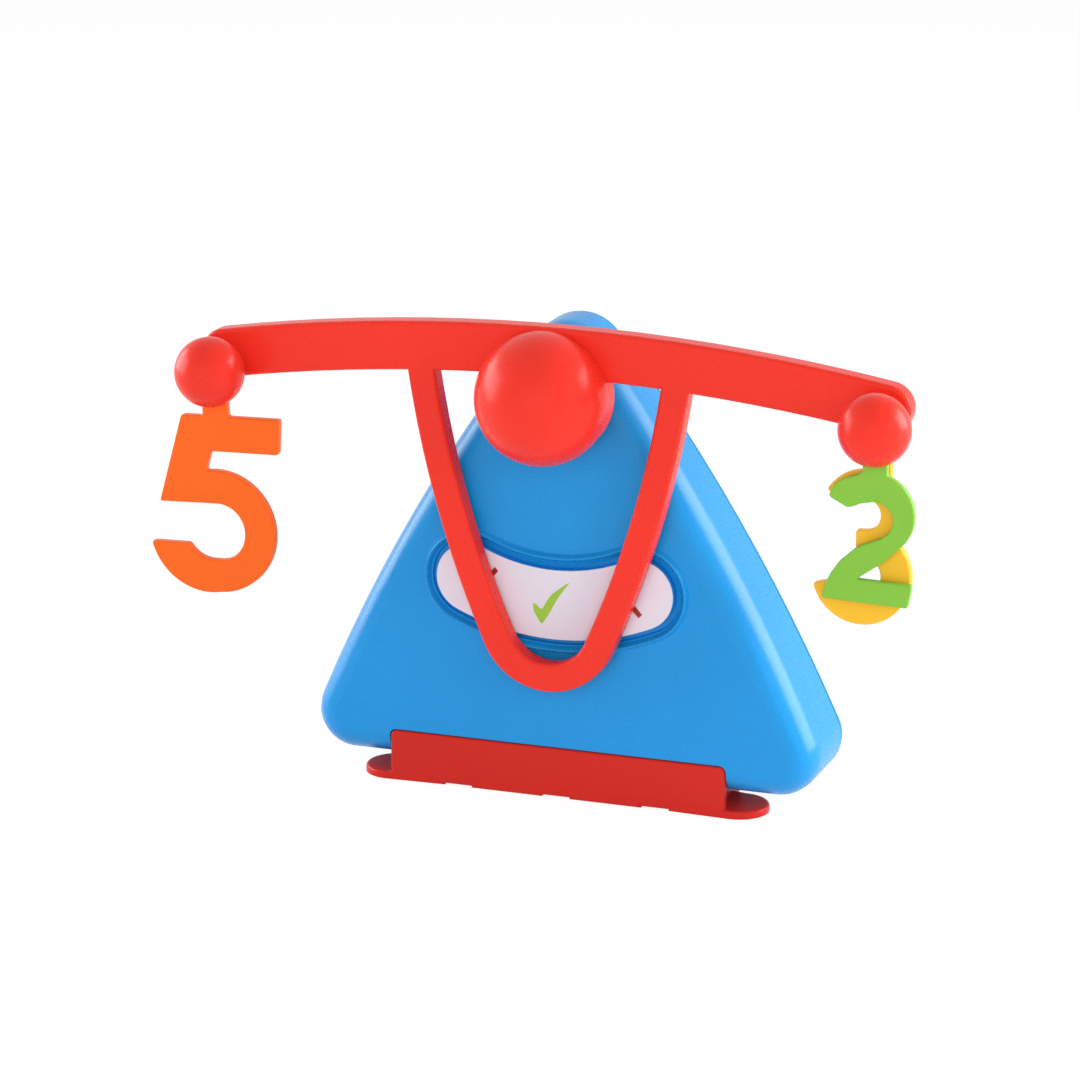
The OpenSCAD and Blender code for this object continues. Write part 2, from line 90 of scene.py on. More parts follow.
class ScaleSizes(bpy.types.PropertyGroup):
    """Sizes that a user would change."""

    beam_edge: bpy.props.FloatProperty(
        name="Beam edge", description="Rounding of the beam's moulded edges", default=1.7 * MM, unit="LENGTH")
    number_edge: bpy.props.FloatProperty(
        name="Number edge", description="Rounding of the numbers' moulded edges",
        default=0.7 * MM, unit="LENGTH")
    number_corner: bpy.props.FloatProperty(
        name="Number corner", description="Easing of the corners of the numbers",
        default=0.7 * MM, unit="LENGTH")
    foot_edge: bpy.props.FloatProperty(
        name="Foot edge", description="Rounding of the foot's moulded edges", default=1.3 * MM, unit="LENGTH")
    seam_groove: bpy.props.FloatProperty(
        name="Seam groove", description="Width and depth of the groove between shell and cover",
        default=1.7 * MM, unit="LENGTH")
    front_edge: bpy.props.FloatProperty(
        name="CAD front edge", description="Radius of the round along the front edge of the CAD node",
        default=7 * MM, unit="LENGTH")
    front_reach: bpy.props.FloatProperty(
        name="Front edge depth", description="Depth of the round along the stand's front edge",
        default=15 * MM, unit="LENGTH")
    front_spread: bpy.props.FloatProperty(
        name="Front edge width", description="Width of the round along the stand's front edge",
        default=10.5 * MM, unit="LENGTH")
    shell_inside: bpy.props.FloatProperty(
        name="Shell wall", description="Thickness of the stand's front wall",
        default=2.4 * MM, unit="LENGTH")
    dome_radius: bpy.props.FloatProperty(
        name="Dome radius", description="Radius of the dome over the pivot",
        default=(DOME_HIGH.z - DOME_LOW.z) / 2, unit="LENGTH")
    ball_radius: bpy.props.FloatProperty(
        name="Knob radius", description="Radius of the knob at each end of the beam",
        default=(BALL_HIGH.x - BALL_LOW.x) / 2, unit="LENGTH")
    shell_wall: bpy.props.FloatProperty(
        name="Knob wall", description="Wall thickness of the dome and the knobs",
        default=2.2 * MM, unit="LENGTH")
    bezel_width: bpy.props.FloatProperty(
        name="Bezel width", description="Width of the raised bezel round the dial",
        default=6 * MM, unit="LENGTH")
    bezel_height: bpy.props.FloatProperty(
        name="Bezel height", description="Height of the bezel above the stand's face",
        default=2.5 * MM, unit="LENGTH")
    bezel_sink: bpy.props.FloatProperty(
        name="Bezel pocket", description="Depth of the pocket in the stand's face that takes the bezel",
        default=1.9 * MM, unit="LENGTH")
    label_sink: bpy.props.FloatProperty(
        name="Label sink", description="Depth of the label's face below the bezel's height",
        default=0.3 * MM, unit="LENGTH")
    dial_radius: bpy.props.FloatProperty(
        name="Dial radius", description="Distance of the dial's middle line from the pivot",
        default=82.5 * MM, unit="LENGTH")
    dial_width: bpy.props.FloatProperty(
        name="Dial width", description="Width of the dial's label", default=27 * MM, unit="LENGTH")
    dial_angle: bpy.props.FloatProperty(
        name="Dial angle", description="Angle from the dial's middle to the centre of its round end",
        default=math.radians(23.9), subtype="ANGLE")
    cross_place: bpy.props.FloatProperty(
        name="Cross place", description="Distance of the crosses from the dial's middle",
        default=28.5 * MM, unit="LENGTH")
    cross_length: bpy.props.FloatProperty(
        name="Cross length", description="Length of the printed crosses' bars",
        default=17.2 * MM, unit="LENGTH")
    cross_width: bpy.props.FloatProperty(
        name="Cross width", description="Width of the printed crosses' bars", default=2.0 * MM, unit="LENGTH")
    screw_radius: bpy.props.FloatProperty(
        name="Screw head", description="Radius of the screws' heads", default=2.8 * MM, unit="LENGTH")
    screw_head: bpy.props.FloatProperty(
        name="Screw head height", description="Height of the screws' heads", default=1.4 * MM, unit="LENGTH")
    shank_radius: bpy.props.FloatProperty(
        name="Screw shank", description="Radius of the screws' shanks", default=1.3 * MM, unit="LENGTH")


class ScaleColours(bpy.types.PropertyGroup):
    """Colours that a user would change."""

    blue: bpy.props.FloatVectorProperty(
        name="Stand", description="Colour of the stand", subtype="COLOR", size=4, default=linear("1a95dd"))
    red: bpy.props.FloatVectorProperty(
        name="Beam", description="Colour of the beam, its dome and its knobs", subtype="COLOR", size=4,
        default=linear("f03426"))
    foot_red: bpy.props.FloatVectorProperty(
        name="Foot", description="Colour of the foot", subtype="COLOR", size=4, default=linear("d02a20"))
    orange: bpy.props.FloatVectorProperty(
        name="Number 5", description="Colour of the number 5",
        subtype="COLOR", size=4, default=linear("fb6715"))
    green: bpy.props.FloatVectorProperty(
        name="Number 2", description="Colour of the number 2",
        subtype="COLOR", size=4, default=linear("83c140"))
    yellow: bpy.props.FloatVectorProperty(
        name="Number 3", description="Colour of the number 3",
        subtype="COLOR", size=4, default=linear("f9be2e"))
    label: bpy.props.FloatVectorProperty(
        name="Label", description="Colour of the dial's label",
        subtype="COLOR", size=4, default=linear("e1dde9"))
    tick: bpy.props.FloatVectorProperty(
        name="Tick", description="Colour of the printed tick",
        subtype="COLOR", size=4, default=linear("9cc63a"))
    cross: bpy.props.FloatVectorProperty(
        name="Crosses", description="Colour of the printed crosses", subtype="COLOR", size=4,
        default=linear("9a2f26"))


def add(tree, kind, place=(0, 0), inputs=None, **settings):
    """Adds a node; an input is a value, or an output socket to link."""
    node = tree.nodes.new(kind)
    node.location = place
    for name, value in settings.items():
        setattr(node, name, value)
    for name, value in (inputs or {}).items():
        socket = node.inputs[name]
        if isinstance(value, bpy.types.NodeSocket):
            tree.links.new(value, socket)
        else:
            socket.default_value = value
    return node


def new_material(name):
    """New material and its node tree, still empty."""
    material = bpy.data.materials.new(name)
    material.use_nodes = True
    material.node_tree.nodes.clear()
    return material, material.node_tree


def shaded(colour, share):
    """A linear colour made darker or lighter by a share."""
    return tuple(min(1.0, c * share) for c in colour[:3]) + (1.0,)


def mixed(tree, place, factor, first, second):
    """Output that goes from a first colour to a second with a factor."""
    # A Mix node repeats its sockets' names for each type; the colours are inputs 6 and 7 and output 2
    mix = add(tree, "ShaderNodeMix", place, {"Factor": factor, 6: first, 7: second}, data_type="RGBA")
    return mix.outputs[2]


def noise(tree, height, size, detail, roughness):
    """Output of a noise in a piece's own space, its features about a size wide."""
    place = add(tree, "ShaderNodeTexCoord", (-1100, height)).outputs["Object"]
    return add(tree, "ShaderNodeTexNoise", (-900, height), {
        "Vector": place, "Scale": 1 / size, "Detail": detail, "Roughness": roughness}).outputs["Fac"]


def surfaced(material, inputs):
    """Ends a material with a Principled shader."""
    shader = add(material.node_tree, "ShaderNodeBsdfPrincipled", (0, 0), inputs)
    add(material.node_tree, "ShaderNodeOutputMaterial", (300, 0), {"Surface": shader.outputs["BSDF"]})
    return material


def moulded_plastic(name, colour, gloss, shine, spread=0.04):
    """ABS or polypropylene, injection moulded in a polished tool: even colour right through, a soft gloss,
    a faint waviness of the skin a few millimetres wide and a finer grain of the tool's finish."""
    material, tree = new_material(name)
    # Pigment streaks follow the flow of the melt, some 45 mm long
    flow = noise(tree, 250, 45 * MM, 2.0, 0.5)
    tone = mixed(tree, (-650, 250), flow, shaded(colour, 0.93), shaded(colour, 1.07))
    # Sink and flow leave waves of about 9 mm in the skin
    skin = noise(tree, -50, 9 * MM, 1.0, 0.4)
    # The tool's grain is near 0.1 mm; drawn at 0.8 mm so that it shows
    grain = noise(tree, -350, 0.8 * MM, 2.0, 0.6)
    rough = add(tree, "ShaderNodeMapRange", (-650, -50), {
        "Value": grain, "From Min": 0.2, "From Max": 0.8, "To Min": gloss - spread, "To Max": gloss + spread})
    wave = add(tree, "ShaderNodeBump", (-400, -250), {
        "Height": skin, "Strength": 0.10, "Distance": 0.25 * MM})
    bump = add(tree, "ShaderNodeBump", (-200, -350), {
        "Height": grain, "Strength": 0.02, "Distance": 0.05 * MM, "Normal": wave.outputs["Normal"]})
    return surfaced(material, {
        "Base Color": tone, "Roughness": rough.outputs["Result"], "IOR": 1.5,
        "Specular IOR Level": shine, "Normal": bump.outputs["Normal"]})


def printed_film(name, colour, fleck):
    """Polypropylene label film, or the ink screened on it: satin, with the faint cloud of a printed sheet."""
    material, tree = new_material(name)
    cloud = noise(tree, 150, 3 * MM, 4.0, 0.6)
    tone = mixed(tree, (-450, 150), cloud, shaded(colour, 1 - fleck), shaded(colour, 1 + fleck))
    bump = add(tree, "ShaderNodeBump", (-200, -200), {
        "Height": cloud, "Strength": 0.05, "Distance": 0.05 * MM})
    return surfaced(material, {
        "Base Color": tone, "Roughness": 0.26, "IOR": 1.49, "Specular IOR Level": 0.35,
        "Normal": bump.outputs["Normal"]})


def zinc_steel(name):
    """Steel, turned and zinc plated: bright, with a slightly uneven plating."""
    material, tree = new_material(name)
    plating = noise(tree, 100, 0.7 * MM, 3.0, 0.6)
    tone = mixed(tree, (-450, 200), plating, linear("9fa2a6"), linear("d3d5d8"))
    rough = add(tree, "ShaderNodeMapRange", (-450, -100), {
        "Value": plating, "To Min": 0.24, "To Max": 0.42})
    return surfaced(material, {
        "Base Color": tone, "Roughness": rough.outputs["Result"], "Metallic": 1.0})


FINISHES = {}


def finish(name):
    """The material of a finish, made at its first use."""
    colours = bpy.context.scene.scale_colours
    makers = {
        "blue": lambda: moulded_plastic("ABS moulded blue", colours.blue, 0.28, 0.26),
        "red": lambda: moulded_plastic("ABS moulded red", colours.red, 0.28, 0.20),
        "foot_red": lambda: moulded_plastic("ABS moulded dark red", colours.foot_red, 0.34, 0.16),
        "orange": lambda: moulded_plastic("PP moulded orange", colours.orange, 0.38, 0.25),
        "green": lambda: moulded_plastic("PP moulded green", colours.green, 0.38, 0.25),
        "yellow": lambda: moulded_plastic("PP moulded yellow", colours.yellow, 0.38, 0.25),
        "label": lambda: printed_film("PP film label", colours.label, 0.03),
        "tick_ink": lambda: printed_film("Screen ink green", colours.tick, 0.10),
        "cross_ink": lambda: printed_film("Screen ink red", colours.cross, 0.08),
        "steel": lambda: zinc_steel("Steel zinc plated"),
    }
    if name not in FINISHES:
        FINISHES[name] = makers[name]()
    return FINISHES[name]


def linked(name, data):
    """New object in the scene that holds some data."""
    obj = bpy.data.objects.new(name, data)
    bpy.context.scene.collection.objects.link(obj)
    return obj


def piece(name, mesh, slot, body, *nodes):
    """A finished piece from a plain mesh: it rides on a body and stands for CAD nodes."""
    obj = linked(name, mesh)
    mesh.materials.clear()
    mesh.materials.append(finish(slot))
    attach(obj, body)
    if nodes:
        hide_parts(*nodes)
    return obj


def dress(node, slot):
    """Gives a CAD node that stays its finish."""
    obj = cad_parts[node]
    obj.data.materials.clear()
    obj.data.materials.append(finish(slot))


def plain(obj, name):
    """Plain mesh of an object with its modifiers applied; the object is removed."""
    # Inputs of a modifier that were set by identifier count only once the object is tagged
    obj.update_tag()
    bpy.context.view_layer.update()
    graph = bpy.context.evaluated_depsgraph_get()
    mesh = bpy.data.meshes.new_from_object(obj.evaluated_get(graph), depsgraph=graph)
    if not mesh.polygons:
        raise RuntimeError(name + " came out empty")
    mesh.name = name
    data = obj.data
    bpy.data.objects.remove(obj)
    if data.users == 0 and isinstance(data, bpy.types.Mesh):
        bpy.data.meshes.remove(data)
    return mesh


def even_flats(bm):
    """Joins the faces of each flat."""
    bmesh.ops.dissolve_limit(
        bm, angle_limit=FLAT_ANGLE, verts=bm.verts, edges=bm.edges, use_dissolve_boundaries=False)


def merged(node):
    """Joined copy of a CAD node's loose triangles, as a bmesh."""
    bm = bmesh.new()
    bm.from_mesh(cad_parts[node].data)
    bmesh.ops.remove_doubles(bm, verts=bm.verts, dist=WELD)
    even_flats(bm)
    bm.normal_update()
    return bm


def rims(faces):
    """Closed loops of vertices round a set of faces, with the faces on their left."""
    inside = set(faces)
    follow = {}
    for face in faces:
        for loop in face.loops:
            if sum(other in inside for other in loop.edge.link_faces) == 1:
                follow.setdefault(loop.vert, []).append((loop.link_loop_next.vert, loop.edge))
    loops = []
    while follow:
        start = vert = next(iter(follow))
        loop = []
        while vert in follow:
            after, edge = follow[vert].pop()
            if not follow[vert]:
                del follow[vert]
            loop.append((vert, edge))
            vert = after
            if vert is start:
                break
        loops.append(loop)
    return loops


def flat_face(bm, normal):
    """Faces of the largest flat that faces a way, and their level along it."""
    levels = {}
    for face in bm.faces:
        if face.normal.dot(normal) > FACING:
            level = round(face.calc_center_median().dot(normal), LEVEL_DIGITS)
            levels.setdefault(level, []).append(face)
    if not levels:
        raise RuntimeError("no flat face to soften")
    level = max(levels, key=lambda key: sum(face.calc_area() for face in levels[key]))
    return levels[level], level


def inward_ways(places, normal):
    """The way into a closed outline from each of its sides."""
    return [normal.cross((b - a).normalized()) for a, b in zip(places, places[1:] + places[:1])]


def inset_ends(places, inward, widths, sharpest=0.3, tries=80, fold=-1e-12):
    """Ends of an inset of a closed outline; sharp corners reach only so far, and folds close up."""
    count = len(places)
    ends = []
    for i in range(count):
        before, after = inward[i - 1], inward[i]
        ends.append(places[i] + widths[i] * (before + after) / max(sharpest, 1 + before.dot(after)))
    for _ in range(tries):
        folded = [i for i in range(count)
                  if (ends[(i + 1) % count] - ends[i]).dot(places[(i + 1) % count] - places[i]) < fold]
        if not folded:
            break
        for i in folded:
            ends[i] = ends[(i + 1) % count] = (ends[i] + ends[(i + 1) % count]) / 2
    return ends


def quarter(steps):
    """Shares of inset and depth along a quarter round."""
    turns = [math.pi / 2 * j / steps for j in range(1, steps + 1)]
    return [(1 - math.cos(turn), 1 - math.sin(turn)) for turn in turns]


ROUND = quarter(5)
RABBET = [(1.0, 1.0), (1.0, 0.0)]


def band(bm, first, second):
    """Faces between two closed rings of vertices."""
    for i in range(len(first)):
        k = (i + 1) % len(first)
        bm.faces.new((first[i], first[k], second[k], second[i]))


def round_over(bm, ring, places, ends, widths, normal, shares=ROUND):
    """Adds an edge of the given shares from a ring of vertices to the inset ends; returns its last ring."""
    for inset, depth in shares:
        fresh = [
            bm.verts.new(place.lerp(end, inset) - normal * width * depth)
            for place, end, width in zip(places, ends, widths)]
        band(bm, ring, fresh)
        ring = fresh
    return ring


def close_flat(bm, loops, normal):
    """Fills the flat between closed loops of vertices."""
    if len(loops) == 1:
        bm.faces.new(loops[0])
        return
    side = normal.orthogonal().normalized()
    up = normal.cross(side)
    order = [v for loop in loops for v in loop]
    flat = [[Vector((v.co.dot(side), v.co.dot(up), 0)) for v in loop] for loop in loops]
    for corners in tessellate_polygon(flat):
        trio = [order[i] for i in corners]
        if len(set(trio)) == 3:
            face = bm.faces.new(trio)
            face.normal_update()
            if face.normal.dot(normal) < 0:
                face.normal_flip()


def soften_rim(bm, way, width, shares=ROUND, least=8 * MM, upright=0.1):
    """Rounds the edges of the largest flat that faces a way, where an upright wall goes down from them.
    Holes smaller than the least stay sharp."""
    normal = way.normalized()
    faces, level = flat_face(bm, normal)
    inside = set(faces)
    fills = []
    moves = []
    for loop in rims(faces):
        verts = [v for v, _ in loop]
        if max((v.co - verts[0].co).length for v in verts) < least:
            fills.append(verts)
            continue
        walls = []
        for _, edge in loop:
            side = [f for f in edge.link_faces if f not in inside]
            outer = (side and abs(side[0].normal.dot(normal)) < upright
                     and side[0].calc_center_median().dot(normal) < level - SAME_LEVEL)
            walls.append(width if outer else 0.0)
        if not any(walls):
            fills.append(verts)
            continue
        places = [v.co.copy() for v in verts]
        widths = [min(walls[i - 1], walls[i]) for i in range(len(verts))]
        ends = inset_ends(places, inward_ways(places, normal), widths)
        fills.append(round_over(bm, verts, places, ends, widths, normal, shares))
        moves.extend(zip(verts, widths))
    bmesh.ops.delete(bm, geom=faces, context="FACES")
    for vert, depth in moves:
        vert.co -= normal * depth
    close_flat(bm, fills, normal)
    bmesh.ops.remove_doubles(bm, verts=bm.verts, dist=TOUCH)
    bm.normal_update()


def shaded_mesh(bm, name):
    """Mesh of a bmesh, smooth but for its sharp edges; the bmesh is freed."""
    mesh = bpy.data.meshes.new(name)
    bm.to_mesh(mesh)
    bm.free()
    mesh.shade_smooth()
    mesh.set_sharp_from_angle(angle=SMOOTH_ANGLE)
    return mesh


def smooth_mesh(bm, name):
    """Plain mesh of a closed bmesh, its flats even and its rounds smooth."""
    even_flats(bm)
    if any(len(edge.link_faces) != 2 for edge in bm.edges):
        raise RuntimeError(name + " has an open seam")
    obj = linked(name, shaded_mesh(bm, name))
    normals = obj.modifiers.new("normals", "WEIGHTED_NORMAL")
    normals.keep_sharp = True
    # At 100 the largest faces set the normals, so flats stay flat
    normals.weight = 100
    return plain(obj, name)


def softened(node, name, *rounds):
    """Copy of a CAD node's mesh; each round is the way and width of a flat whose edges a mould rounds."""
    bm = merged(node)
    for way, width in rounds:
        soften_rim(bm, way, width)
    return smooth_mesh(bm, name)


def eased(points, spacing, spread):
    """Closed outline drawn again at an even spacing, with its corners eased over a spread."""
    sides = [(b - a).length for a, b in zip(points, points[1:] + points[:1])]
    total = sum(sides)
    count = int(total / spacing)
    even = []
    index, walked = 0, 0.0
    for i in range(count):
        want = total * i / count
        while walked + sides[index] < want:
            walked += sides[index]
            index += 1
        part = (want - walked) / sides[index] if sides[index] else 0.0
        even.append(points[index].lerp(points[(index + 1) % len(points)], part))
    reach = int(3 * spread / spacing) + 1
    weights = {k: math.exp(-0.5 * (k * spacing / spread) ** 2) for k in range(-reach, reach + 1)}
    whole = sum(weights.values())
    return [
        sum((even[(i + k) % count] * w for k, w in weights.items()), Vector((0, 0, 0))) / whole
        for i in range(count)]


def figure(node, name, edge, corner, spacing=0.25 * MM):
    """A flat moulded figure: a CAD node's front outline with eased corners and rounded edges."""
    bm = merged(node)
    faces, level = flat_face(bm, FRONT)
    depth = Vector((0, max(v.co.y for v in bm.verts) + level, 0))
    loops = [eased([v.co.copy() for v, _ in loop], spacing, corner) for loop in rims(faces)]
    bm.free()
    fresh = bmesh.new()
    fronts = []
    backs = []
    for places in loops:
        widths = [edge] * len(places)
        ends = inset_ends(places, inward_ways(places, FRONT), widths)
        near = [fresh.verts.new(p - FRONT * edge) for p in places]
        fronts.append(round_over(fresh, near, places, ends, widths, FRONT))
        far = [fresh.verts.new(p + depth + FRONT * edge) for p in places]
        band(fresh, far, near)
        behind = [p + depth for p in reversed(places)]
        behind_ends = [p + depth for p in reversed(ends)]
        backs.append(round_over(fresh, far[::-1], behind, behind_ends, widths, -FRONT))
    close_flat(fresh, fronts, FRONT)
    close_flat(fresh, backs, -FRONT)
    bmesh.ops.remove_doubles(fresh, verts=fresh.verts, dist=TOUCH)
    bmesh.ops.recalc_face_normals(fresh, faces=fresh.faces)
    return smooth_mesh(fresh, name)


def circle(radius, steps):
    """Points of a circle about the origin."""
    turns = [math.tau * i / steps for i in range(steps)]
    return [(radius * math.cos(turn), radius * math.sin(turn)) for turn in turns]


def lathe(name, profile, centre, steps=128):
    """Closed mesh of a profile of (radius, depth) points turned about the line through centre along -Y."""
    bm = bmesh.new()
    rings = []
    for radius, depth in profile:
        spots = circle(radius, steps) if radius > TOUCH else [(0, 0)]
        rings.append([bm.verts.new((centre.x + x, -depth, centre.z + z)) for x, z in spots])
    for a, b in zip(rings, rings[1:] + rings[:1]):
        for i in range(steps):
            k = (i + 1) % steps
            corners = [a[i % len(a)], a[k % len(a)], b[k % len(b)], b[i % len(b)]]
            corners = list(dict.fromkeys(corners))
            if len(corners) > 2:
                bm.faces.new(corners)
    bmesh.ops.recalc_face_normals(bm, faces=bm.faces)
    return shaded_mesh(bm, name)


def cap_profile(radius, wall, centre_depth, back_depth, hole, lip=0.3 * MM, steps=48, inside_steps=23):
    """Section of a hollow ball cut off at a depth, from its back edge over the top and back inside."""
    inner = radius - wall
    cut = math.asin((back_depth - centre_depth) / radius)
    start = cut + lip / radius
    points = [(hole, back_depth), (radius * math.cos(cut) - lip, back_depth)]
    for i in range(steps + 1):
        a = start + (math.pi / 2 - start) * i / steps
        points.append((radius * math.cos(a) if i < steps else 0.0, centre_depth + radius * math.sin(a)))
    begin = math.asin(max(-1.0, min(1.0, (back_depth + wall - centre_depth) / inner)))
    for i in range(inside_steps + 1):
        a = math.pi / 2 - (math.pi / 2 - begin) * i / inside_steps
        points.append((inner * math.cos(a) if i else 0.0, centre_depth + inner * math.sin(a)))
    points.append((min(hole, inner * math.cos(begin)), back_depth + wall))
    return points


def cross_outline(slim, wide):
    """Outline of a cross from half the width and half the length of its bars."""
    return [(slim, wide), (-slim, wide), (-slim, slim), (-wide, slim), (-wide, -slim), (-slim, -slim),
            (-slim, -wide), (slim, -wide), (slim, -slim), (wide, -slim), (wide, slim), (slim, slim)]


def plate(bm, outline, low, high):
    """Adds a flat plate of an outline in X and Z, between two depths along Y."""
    front = [bm.verts.new((x, low, z)) for x, z in outline]
    back = [bm.verts.new((x, high, z)) for x, z in outline]
    bm.faces.new(front)
    bm.faces.new(back)
    for i in range(len(front)):
        k = (i + 1) % len(front)
        bm.faces.new((front[i], back[i], back[k], front[k]))


def nearest(spot, a, b):
    """Nearest point of a straight line from a to b."""
    along = b - a
    share = max(0.0, min(1.0, (spot - a).dot(along) / along.length_squared))
    return a + along * share


def joint_way(least=0.9):
    """The way that the stand's sloping rear cover faces."""
    bm = merged("rear_cover")
    backs = [f for f in bm.faces if f.normal.y > least]
    way = max(backs, key=lambda f: f.calc_area()).normal.copy()
    bm.free()
    return way


class SCALE_OT_stand(bpy.types.Operator):
    """Shell and cover of the stand"""

    bl_idname = "scale_toy.stand"
    bl_label = "Stand"

    # Range of the normals' depth on the first facets of the CAD's round
    FIRST_FACETS = (-0.3, -0.05)
    # A vertex this close to the CAD's quarter circle belongs to it
    ON_ROUND = 0.06 * MM
    # Share of the round's width at which the inner front wall ends
    WALL_SHARE = 0.68
    FEWEST_MOVED = 100
    # The bezel lies farther than this below the pivot, and the bearing's boss nearer
    BEZEL_DROP = 40 * MM

    def execute(self, context):
        sizes = context.scene.scale_sizes
        back = joint_way()
        shell = merged("front_shell")
        self.widen(shell, sizes.front_edge, sizes.front_spread, sizes.front_reach, sizes.shell_inside)
        self.pocket(shell, middle("pivot_axle"), sizes.bezel_sink)
        piece("stand_shell", smooth_mesh(shell, "stand_shell"), "blue", "stand", "front_shell")
        cover = merged("rear_cover")
        soften_rim(cover, -back, sizes.seam_groove, RABBET)
        piece("stand_cover", smooth_mesh(cover, "stand_cover"), "blue", "stand", "rear_cover")
        return {"FINISHED"}

    def widen(self, bm, deep, wide, reach, inside):
        """Draws the round of the front edge wider and deeper, and the inner wall clear of it."""
        face_y = -flat_face(bm, FRONT)[1]
        base = face_y + deep
        least, most = self.FIRST_FACETS
        sides = [
            (e.verts[0].co.copy(), e.verts[1].co.copy()) for e in bm.edges
            if all(abs(v.co.y - base) < SAME_LEVEL for v in e.verts)
            and any(least < f.normal.y < most for f in e.link_faces)]
        slack = SAME_LEVEL / deep
        moved = 0
        for vert in bm.verts:
            rise = (base - vert.co.y) / deep
            if not -slack < rise < 1 + slack:
                continue
            spot = Vector((vert.co.x, base, vert.co.z))
            near = min((nearest(spot, a, b) for a, b in sides), key=lambda q: (q - spot).length)
            gap = (spot - near).length
            if abs(gap - deep * (1 - math.sqrt(max(0.0, 1 - rise * rise)))) < self.ON_ROUND:
                spot = near + (spot - near) * wide / deep
                vert.co = (spot.x, face_y + reach * (1 - rise), spot.z)
                moved += 1
            elif abs(vert.co.y - face_y - inside) < SAME_LEVEL and gap < deep:
                spot = near + (spot - near).normalized() * self.WALL_SHARE * wide
                vert.co = (spot.x, vert.co.y, spot.z)
        if moved < self.FEWEST_MOVED:
            raise RuntimeError("the round of the stand's front edge was not found")
        bm.normal_update()

    def pocket(self, bm, pivot, depth):
        """Takes the stepped bezel off the front face and leaves a pocket for the rounded one."""
        face_y = -flat_face(bm, FRONT)[1]
        steps = [f for f in bm.faces if f.calc_center_median().y < face_y - SAME_LEVEL
                 and pivot.z - f.calc_center_median().z > self.BEZEL_DROP]
        bmesh.ops.delete(bm, geom=steps, context="FACES")
        rim = [e for e in bm.edges if e.is_boundary and abs(e.verts[0].co.y - face_y) < SAME_LEVEL]
        if not rim:
            raise RuntimeError("the dial's bezel was not found")
        made = bmesh.ops.extrude_edge_only(bm, edges=rim)["geom"]
        bmesh.ops.translate(
            bm, verts=[v for v in made if isinstance(v, bmesh.types.BMVert)], vec=(0, depth, 0))
        floor = [e for e in made if isinstance(e, bmesh.types.BMEdge) and e.is_boundary]
        bmesh.ops.holes_fill(bm, edges=floor)
        bmesh.ops.recalc_face_normals(bm, faces=bm.faces)


class SCALE_OT_dial(bpy.types.Operator):
    """Rounded bezel, label and printed signs of the dial"""

    bl_idname = "scale_toy.dial"
    bl_label = "Dial"

    def execute(self, context):
        sizes = context.scene.scale_sizes
        pivot = middle("pivot_axle")
        points = dial_outline(sizes.dial_radius, sizes.dial_width / 2, sizes.dial_angle)
        path = flat_curve("dial_path", points)
        section = flat_curve("bezel_section", bezel_section())
        grown(path, bezel_tree(), {
            "Section": section, "Width": sizes.bezel_width, "Height": sizes.bezel_height,
            "Material": finish("blue")})
        mesh = plain(path, "dial_bezel")
        bpy.data.objects.remove(section)
        face_y = LABEL_LOW.y + sizes.bezel_height - sizes.label_sink
        mesh.transform(Matrix.Translation((pivot.x, face_y, pivot.z)) @ Matrix.Rotation(math.pi / 2, 4, "X"))
        bm = bmesh.new()
        bm.from_mesh(mesh)
        bmesh.ops.remove_doubles(bm, verts=bm.verts, dist=WELD)
        # The label's seat: a plate from the back of the label to the floor of the pocket
        plate(bm, [(pivot.x + x, pivot.z + z) for x, z in points], LABEL_HIGH.y, face_y + sizes.bezel_sink)
        bmesh.ops.recalc_face_normals(bm, faces=bm.faces)
        bpy.data.meshes.remove(mesh)
        piece("dial_bezel", smooth_mesh(bm, "dial_bezel"), "blue", "stand")
        dress("dial_label", "label")
        crosses = [self.cross(side, sizes) for side in (-1, 1)]
        self.printed("tick_print", "tick_mark", "tick_ink", [self.tick(pivot.z - sizes.dial_radius)])
        self.printed("cross_prints", "cross_marks", "cross_ink", crosses)
        return {"FINISHED"}

    def tick(self, level, spacing=0.2 * MM, corner=0.35 * MM):
        """Outline of the tick, a brush stroke with eased corners: down the left, up to the tip and back."""
        down = [(-8.3, 0), (-7.8, -3.2), (-5.9, -6.5), (-4.6, -7.9)]
        up = [(-3.4, -6.2), (-1.7, -3.4), (0.1, 0), (2.1, 3.4), (4.3, 6.5), (6.4, 9.3)]
        back = [(4.5, 8.2), (2.1, 6.3), (-0.7, 4.1), (-2.6, 1.4), (-4.1, -1.4)]
        notch = [(-4.8, -2.2), (-6.1, -1.4), (-7.1, -0.4)]
        points = [Vector((x * MM, 0, level + z * MM)) for x, z in down + up + back + notch]
        return [(p.x, p.z) for p in eased(points, spacing, corner)]

    def cross(self, side, sizes, slim=0.95, tall=1.05):
        """Outline of a cross, a little taller than wide."""
        low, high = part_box("cross_marks")
        x = side * sizes.cross_place
        z = (low.z + high.z) / 2
        flat = [((a - b) * math.sqrt(0.5), (a + b) * math.sqrt(0.5))
                for a, b in cross_outline(sizes.cross_width / 2, sizes.cross_length / 2)]
        return [(x + slim * a, z + tall * b) for a, b in flat]

    def printed(self, name, node, slot, outlines):
        """Ink as thick as the CAD node's, one flat shape for each outline."""
        low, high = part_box(node)
        bm = bmesh.new()
        for outline in outlines:
            plate(bm, outline, low.y, high.y)
        bmesh.ops.recalc_face_normals(bm, faces=bm.faces)
        piece(name, smooth_mesh(bm, name), slot, "stand", node)


def flat_curve(name, points):
    """Closed flat curve object through points."""
    data = bpy.data.curves.new(name, "CURVE")
    data.dimensions = "3D"
    spline = data.splines.new("POLY")
    spline.points.add(len(points) - 1)
    for point, (x, y) in zip(spline.points, points):
        point.co = (x, y, 0, 1)
    spline.use_cyclic_u = True
    return linked(name, data)


